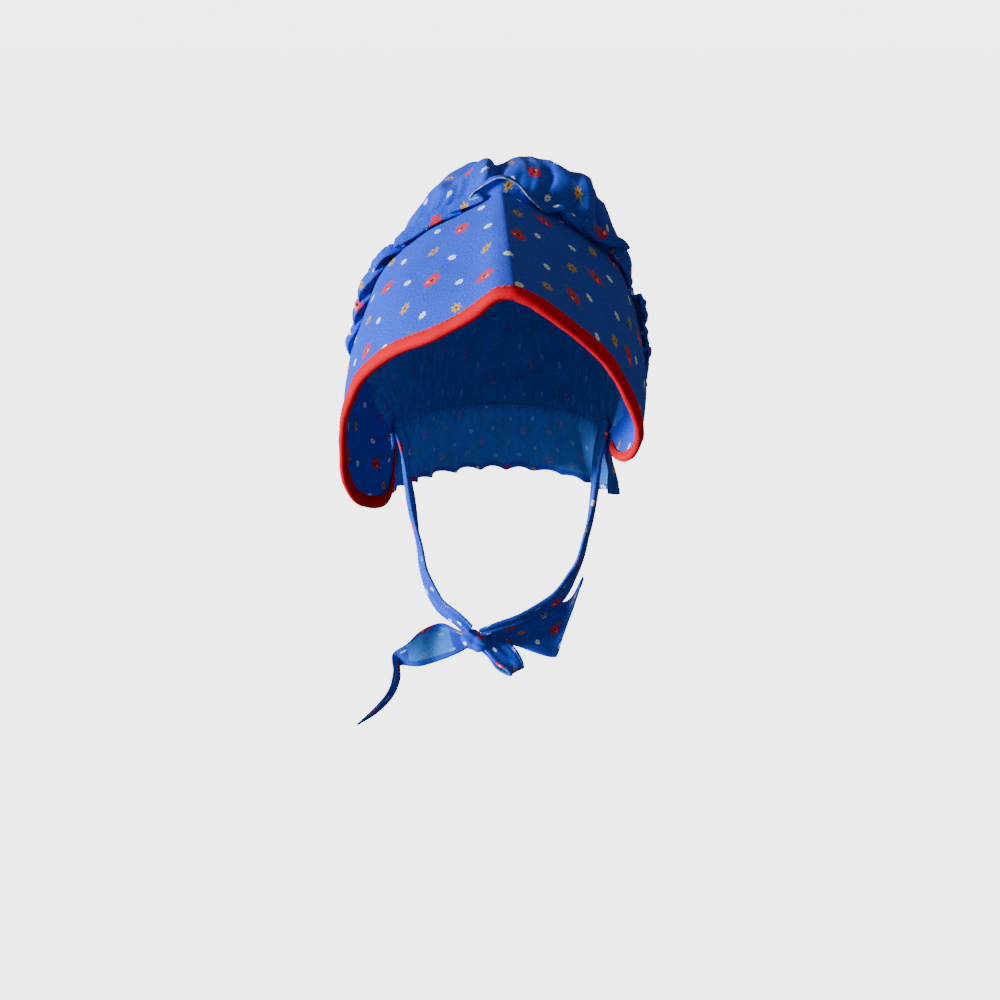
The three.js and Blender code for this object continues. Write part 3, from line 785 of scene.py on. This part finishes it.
def makeFrill():
    seam, front = brimPoints[::-1, 0], brimPoints[::-1, -1]
    reach = travelled(seam)
    reach = reach - reach[len(seam) // 2]
    line = frillRows(reach)
    where, shoulderOn, shoulderOut, hemOn, hemOut, push = line.T
    start = sampled(where, reach, seam)
    forward = unit(sampled(where, reach, front) - start)
    along = unit(sampled(where, reach, unit(np.gradient(seam, axis=0))))
    out = unit(np.cross(along, forward))
    out = out * np.sign(np.sum(out[:, 2]))
    place = lambda f, n, a: start + forward * f[:, None] + out * n[:, None] + along * a[:, None]
    still = np.zeros(len(line))
    ridge = frill["footForward"] + frill["ridgeForward"] * bell(where - 1, frill["ridgeWidth"])
    foot = place(ridge, still + frill["footOut"], still)
    shoulder = place(shoulderOn, shoulderOut, push * 0.5)
    # side pleats are crushed unevenly
    side = smoothStep(45, 70, np.abs(where))
    sway = side * softNoise(where / 5.0, 3, 35)
    toss = side * softNoise(where / 6.5, 7, 36)
    hem = place(hemOn + toss, hemOut * (1 + 0.22 * sway), push + 1.2 * toss)
    t = np.linspace(0, 1, frill["points"] + 1)
    s = t[None, :, None]
    grid = foot[:, None] * (1 - s) ** 2 + shoulder[:, None] * 2 * s * (1 - s) + hem[:, None] * s * s
    hemArc = travelled(hem)
    crumple = layeredNoise(hemArc[:, None], t[None, :], frill["crumple"])
    crumple = np.abs(crumple) * (1 + frill["sideCrumple"] * side[:, None])
    swell = crumple * np.sin(math.pi * np.minimum(t * 0.9 + 0.02, 1))[None, :]
    grid = grid + out[:, None] * swell[..., None]
    flat = joined((hemArc * frill["ease"])[:, None], t * frill["height"] - frill["seamFlat"])
    piece = sheetMesh("frillCloth", grid[:, ::-1], frill["thickness"], flat[:, ::-1], printedCotton)
    low, high = frill["paleHem"]
    pale = (where > low) & (where < high)
    roll = grid[pale, -1] + unit(grid[pale, -1] - grid[pale, -2]) * 0.2
    return piece, tubeMesh("frillHemRoll", [roll], frill["thread"], paleThread, sides=7)


frillPiece, frillThread = makeFrill()
print("frill made")


# Neck curtain: gathered under the crown, with a narrow hem
curtain = dict(
    frontDrop=37.0, backDrop=53.0, flare=9.0, centreY=22.0, below=0.9, thickness=1.1, lines=480, points=60,
    lap=2.6, lapOut=1.25, lapFade=30,      # the top edge stands up over the crown's
    fine=5.6, fineHigh=1.3, broad=17.5, broadHigh=3.4, sideways=1.5,
    drift=[(31, 1, 7, 41)], uneven=[(24, 1, 0.5, 43)], ripple=[(9, 1, 0.9, 44)],
    crumple=[(9, 0.2, 0.7, 42)], ease=1.6, seamFlat=(7, 11),
    hemStart=0.905, hemThick=0.75, stitchRow=0.925, stitchOut=0.875,
)


def makeCurtain():
    lines, points = curtain["lines"], curtain["points"]
    napeTurn = crown["turn"][-1]
    place = np.linspace(-1, 1, lines + 1)
    depth = np.linspace(0, 1, points + 1)[None, :]
    top = turned(*crownPoint(place, np.full_like(place, napeTurn)), napeTurn) - [0, 0, curtain["below"]]
    outward = unit(joined(top[:, 0] - brim["middleX"], top[:, 1] - curtain["centreY"], 0))
    drop = curtain["backDrop"] + (curtain["frontDrop"] - curtain["backDrop"]) * place**4
    along = travelled(top)
    drift, uneven, ripple = (layeredNoise(along, 0, curtain[name]) for name in ("drift", "uneven", "ripple"))
    fine = np.sin(2 * math.pi * (along + drift * 0.4) / curtain["fine"])[:, None]
    phase = 2 * math.pi * (along + drift) / curtain["broad"]
    broad = (np.sin(phase) * (0.8 + uneven))[:, None]
    tangent = unit(np.gradient(top, axis=0))
    end = (1 - smoothStep(0.93, 1.0, np.abs(place)))[:, None]
    lap = np.exp(-depth * curtain["lapFade"])
    out = (
        curtain["flare"] * depth
        + curtain["fineHigh"] * fine * smoothStep(0, 0.05, depth) * np.exp(-depth * 6)
        + curtain["broadHigh"] * broad * depth**0.9
        + ripple[:, None] * depth
        + curtain["lapOut"] * lap
    )
    sideways = -curtain["sideways"] * np.cos(phase)[:, None] * depth * end
    down = drop[:, None] * depth
    grid = (top[:, None] + outward[:, None] * (out * (0.35 + 0.65 * end))[..., None]
            + tangent[:, None] * sideways[..., None]
            - np.array([0, 0, 1.0]) * (down - curtain["lap"] * lap)[..., None])
    crumple = layeredNoise(along[:, None], depth, curtain["crumple"]) * smoothStep(0, 0.2, depth)
    grid = grid + gridNormals(grid) * crumple[..., None]
    aside, below = curtain["seamFlat"]
    flat = joined((along * curtain["ease"] + aside)[:, None], down + below)
    hem = curtain["hemStart"]
    fade = 1 + curtain["hemThick"] * smoothStep(hem - 0.005, hem + 0.010, depth)
    piece = sheetMesh("curtainCloth", grid, curtain["thickness"], flat, printedCotton, fade,
                      reverse=(depth < hem).astype(float))
    row = int(curtain["stitchRow"] * points)
    rise = curtain["stitchOut"] * curtain["thickness"]
    paths = stitchPaths(grid[:, row], gridNormals(grid)[:, row], rise, clothStitch)
    return piece, tubeMesh("curtainStitches", paths, clothStitch["radius"], blueThread)


curtainPiece, curtainStitches = makeCurtain()
print("curtain made")


# Ties: straps beside the neck, the knot, the tails and the loop
tie = dict(
    thickness=1.1, neckY=12.0, curl=0.12, hem=0.12, hemThick=0.7, stitchOut=0.85, fullWidth=24,
    # straps: middle and width
    leftStrap=[(-66.0, 14, -131, 22), (-62.5, 12, -150, 24), (-60, 7, -178, 26), (-56, 1, -208, 24),
               (-52, -7, -232, 20), (-43, -20, -245, 14), (-31, -34, -246, 10), (-21, -44, -248.5, 7)],
    rightStrap=[(62.0, 14, -131, 22), (58.5, 12, -150, 24), (57, 7, -178, 26), (53, 1, -206, 24),
                (46, -8, -229, 20), (33, -23, -241, 14), (12, -36, -245, 10), (-6, -43, -247, 8),
                (-14, -46, -249, 7)],
    # tails and loop: the far edge, then the near edge
    leftTail=[(-18, -47, -253, -18, -50, -254), (-30, -40, -252, -30, -55, -258),
              (-41, -33, -253, -43, -57, -263), (-53, -40, -253, -54, -60, -264),
              (-62, -50, -256, -63, -58, -265), (-70, -54, -260, -66, -57, -267),
              (-69, -65, -264, -65, -66, -271), (-71, -76, -267, -68, -78, -275),
              (-78, -86, -272, -76, -89, -276), (-87, -97, -275.5, -86, -96, -276.2)],
    leftFolded=[1, 1, 1, 1, 1, 0.95, 0.75, 0.55, 0.5, 0.6],      # folded together where it hangs
    leftPatch=(0.17, 0.45),      # turned over between two slanting folds
    rightTail=[(-18, -46, -254, -18, -49, -255), (-2, -34, -255, -5, -42, -259),
               (13, -22, -257, 10, -43, -263), (29, -7, -260, 22, -48, -264),
               (46, 0, -260, 30, -51, -264), (56, 14, -251, 34, -51, -264)],
    loop=[(-17, -48, -252, -18, -50, -253), (-4, -44, -254, -11, -55, -256),
          (7, -51, -257, -4, -63, -259), (12, -60, -260, 3, -67.5, -261),
          (12.6, -62, -262, 4.4, -68.6, -262.6), (12, -60, -264, 3, -67.5, -264),
          (5, -54, -264, -4, -62, -264), (-6, -49, -261, -10, -54, -261),
          (-17, -49, -256, -18, -50, -256)],
)
knot = dict(centre=(-18, -48, -253.5), size=(9.69, 7, 6), turn=-28, rings=40, sides=64)


def sewnEnd(name, grid, flat, reverse=1.0):
    # a strip of cloth, doubled along both sewn edges, with its reverse between them on the outside
    points = grid.shape[1] - 1
    part, inner = np.abs(np.linspace(-1, 1, points + 1))[None, :], 1 - 2 * tie["hem"]
    fade = 1 + tie["hemThick"] * smoothStep(inner, inner + 0.06, part)
    piece = sheetMesh(name, grid, tie["thickness"], flat, printedCotton, fade,
                      reverse=reverse * (part < inner + 0.03), reverseOut=True)
    row = round(tie["hem"] * 0.8 * points)
    rise = tie["stitchOut"] * tie["thickness"]
    paths = []
    for k in (row, points - row):
        paths += stitchPaths(grid[:, k], gridNormals(grid)[:, k], rise, clothStitch)
    return piece, tubeMesh(name + "Stitches", paths, clothStitch["radius"], blueThread)


def makeStrap(name, rows, seed):
    rows = np.array(rows, float)
    shares = np.linspace(0, 1, 161)
    part = np.linspace(-0.5, 0.5, 29)[None, :]
    centre = byKnot(spline(rows[:, :3]), shares)
    width = byKnot(spline(np.column_stack([np.arange(len(rows)), rows[:, 3]])), shares)[:, 1:]
    outward = unit(joined(centre[:, 0] - brim["middleX"], centre[:, 1] - tie["neckY"], 0))
    across = unit(np.cross(unit(np.gradient(centre, axis=0)), outward))
    wide = 1 - np.clip((tie["fullWidth"] - width) / tie["fullWidth"], 0, 1)
    folds = (tie["curl"] * width * np.cos(math.pi * part)
             + (1 - wide) * 2.2 * np.cos(part * 4 * math.pi + 1.0)
             + softNoise(shares[:, None] * 9, part * 4, seed) * 0.7)
    grid = centre[:, None] + across[:, None] * (part * width)[..., None] + outward[:, None] * folds[..., None]
    return sewnEnd(name, grid, joined(part * 40, travelled(centre)[:, None]) + [seed * 3.1, 5.0])


def makeEnd(name, rows, crowning, seed, width, patch=None, folded=None):
    rows = np.array(rows, float)
    far, near = rows[:, :3], rows[:, 3:]
    if folded is not None:
        middle, share = (far + near) / 2, np.array(folded)[:, None]
        far, near = middle + (far - middle) * share, middle + (near - middle) * share
    shares = np.linspace(0, 1, 151)
    part = np.linspace(0, 1, 31)
    far, near = byKnot(spline(far), shares), byKnot(spline(near), shares)
    grid = far[:, None] * (1 - part)[None, :, None] + near[:, None] * part[None, :, None]
    grid[..., 2] += crowning * np.sin(math.pi * part)[None, :] * np.sin(math.pi * shares)[:, None]
    span = np.linalg.norm(near - far, axis=-1)[:, None]
    folds = softNoise(part[None, :] * 5, shares[:, None] * 5, seed) * 0.55 * np.minimum(span / 15, 1)
    grid = grid + gridNormals(grid) * (folds * np.sin(math.pi * part)[None, :] ** 0.5)[..., None]
    flat = joined((part * width)[None, :], travelled((far + near) / 2)[:, None]) + [seed * 5.3, 9.0]
    if patch is None:
        return sewnEnd(name, grid, flat)
    place = shares[:, None] + 0.06 * part[None, :]
    return sewnEnd(name, grid, flat, (place > patch[0]) & (place < patch[1]))


def makeKnot():
    # cloth wrapped over itself: a lump with folds that run round its waist
    rings, sides = knot["rings"], knot["sides"]
    t = np.linspace(0, math.pi, rings + 1)[:, None]
    a = np.linspace(0, 2 * math.pi, sides, endpoint=False)[None, :]
    long, wide, high = knot["size"]
    ridge = 1 + 0.10 * np.cos(3 * a + 2.2 * np.cos(t)) + 0.05 * np.cos(7 * a - 3 * np.cos(t))
    girth = np.sin(t) * ridge * (1 - 0.12 * bell(np.cos(t) - 0.15, 0.25))
    x, y, z = np.cos(t) * long, girth * np.cos(a) * wide, girth * np.sin(a) * high
    cosine, sine = (way(math.radians(knot["turn"])) for way in (math.cos, math.sin))
    points = joined(x * cosine - y * sine, x * sine + y * cosine, z) + knot["centre"]
    vertices = np.vstack([points[1:-1].reshape(-1, 3), points[0, :1], points[-1, :1]])
    top, bottom, lastRing = len(vertices) - 2, len(vertices) - 1, (rings - 2) * sides
    steps = [(k, (k + 1) % sides) for k in range(sides)]
    faces = [(i + k, i + sides + k, i + sides + n, i + n)
             for i in range(0, lastRing, sides) for k, n in steps]
    for k, n in steps:
        faces += [(top, k, n), (bottom, lastRing + n, lastRing + k)]
    flat = joined(vertices[:, 0] * 1.3 - 5, vertices[:, 2] * 1.3 + vertices[:, 1], 0)
    return meshObject("knotWrap", vertices, faces, printedCotton, flat)


leftTie = makeStrap("leftTieStrap", tie["leftStrap"], 51)
rightTie = makeStrap("rightTieStrap", tie["rightStrap"], 52)
leftTail = makeEnd("leftTailCloth", tie["leftTail"], 2.0, 53, 40, tie["leftPatch"], tie["leftFolded"])
rightTail = makeEnd("rightTailCloth", tie["rightTail"], 1.0, 54, 44)
bowLoop = makeEnd("bowLoopCloth", tie["loop"], 0.0, 55, 34)
knotPiece = makeKnot()
print("ties made")


# What each piece stands for, and its flat size as cut: piece and what is sewn on it, node, width and
# length, how it is held, what it rests on, and the area where it isn't a rectangle; in metres
cuts = [
    ([brimPiece], "brim", (0.426, 0.103), "folded", ["crown"], 0.0282),
    ([bindingPiece, bindingStitches], "edge_binding", (0.0145, 0.440), "folded", ["brim"], None),
    ([crownPiece], "crown", (0.446, 0.245), "gathered", ["brim"], 0.0600),
    ([frillPiece, frillThread], "frill", (0.500, 0.0115), "gathered", ["crown", "brim"], None),
    ([curtainPiece, curtainStitches], "neck_curtain", (0.300, 0.053), "gathered", ["crown"], 0.0150),
    (leftTie, "left_tie", (0.026, 0.170), "hung", ["crown", "knot"], None),
    (rightTie, "right_tie", (0.026, 0.185), "hung", ["crown", "knot"], None),
    (leftTail, "left_tail", (0.019, 0.100), "folded", ["knot"], None),
    (rightTail, "right_tail", (0.030, 0.075), "laid", ["knot"], 0.0019),
    (bowLoop, "bow_loop", (0.014, 0.065), "folded", ["knot"], None),
]


def declare(pieces, node):
    # the first piece replaces the node, and what is sewn on it goes along
    for piece in pieces:
        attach(piece, "root")
    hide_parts(node)


for (piece, *sewn), node, flat, held, restsOn, area in cuts:
    declare([piece, *sewn], node)
declare([knotPiece], "knot")


# Floor, light and camera. The floor and the backdrop look brighter to the camera than the light that
# they give, so that the shaded cloth stays dark
light = dict(
    key=(-0.93, -0.35, 0.14), keyPower=9.6, keySpread=12.0, keyColour=(1, 0.98, 0.95),
    fill=0.33, fillColour=(1, 0.90, 0.60), sky=4.4, floorGlow=9.24, floorShare=0.45, floorGrey=0.22,
)
view = dict(place=(1, -392, 68), down=32.1, turn=0.53, focalPixels=726.0, framePixels=1000, sensor=36.0)
floor = dict(height=-277.2, half=40000)


def makeStage():
    white, grey = (1, 1, 1, 1), light["floorGrey"]
    floorMaker = Maker(bpy.data.materials.new("paleFloor"))
    paper = floorMaker.node("ShaderNodeBsdfPrincipled", None,
                            {"Base Color": (grey, grey, grey, 1), "Roughness": 0.9})
    glow = floorMaker.node("ShaderNodeEmission", None, {"Color": white, "Strength": light["floorGlow"]})
    seenByCamera = floorMaker.node("ShaderNodeLightPath")
    shader = floorMaker.node("ShaderNodeMixShader", None, [seenByCamera * light["floorShare"], paper, glow])
    floorMaker.node("ShaderNodeOutputMaterial", None, {"Surface": shader})
    half, height = floor["half"], floor["height"]
    corners = [(x * half, y * half, height) for x, y in ((-1, -1), (1, -1), (1, 1), (-1, 1))]
    meshObject("floor", corners, [(0, 1, 2, 3)], floorMaker.holder)

    bpy.context.scene.world = bpy.data.worlds.new("studio")
    maker = Maker(bpy.context.scene.world)
    fill = maker.node("ShaderNodeBackground", None, [(*light["fillColour"], 1), light["fill"]])
    backdrop = maker.node("ShaderNodeBackground", None, [white, light["sky"]])
    mixed = maker.node("ShaderNodeMixShader", None, [maker.node("ShaderNodeLightPath"), fill, backdrop])
    maker.node("ShaderNodeOutputWorld", None, {"Surface": mixed})


def makeSun():
    lamp = bpy.data.lights.new("windowLight", "SUN")
    lamp.energy = light["keyPower"]
    lamp.angle = math.radians(light["keySpread"])
    lamp.color = light["keyColour"]
    sun = placed("windowLight", lamp)
    sun.rotation_euler = Vector(light["key"]).to_track_quat("Z", "Y").to_euler()


def makeCamera():
    camera = bpy.data.cameras.new("camera")
    camera.sensor_width = view["sensor"]
    camera.lens = view["focalPixels"] / view["framePixels"] * view["sensor"]
    camera.clip_start = 0.01
    camera.clip_end = 100
    holder = placed("camera", camera)
    holder.location = tuple(np.array(view["place"]) * mm)
    holder.rotation_euler = (math.radians(90 - view["down"]), 0, math.radians(view["turn"]))
    bpy.context.scene.camera = holder


makeStage()
makeSun()
makeCamera()
print("stage set")
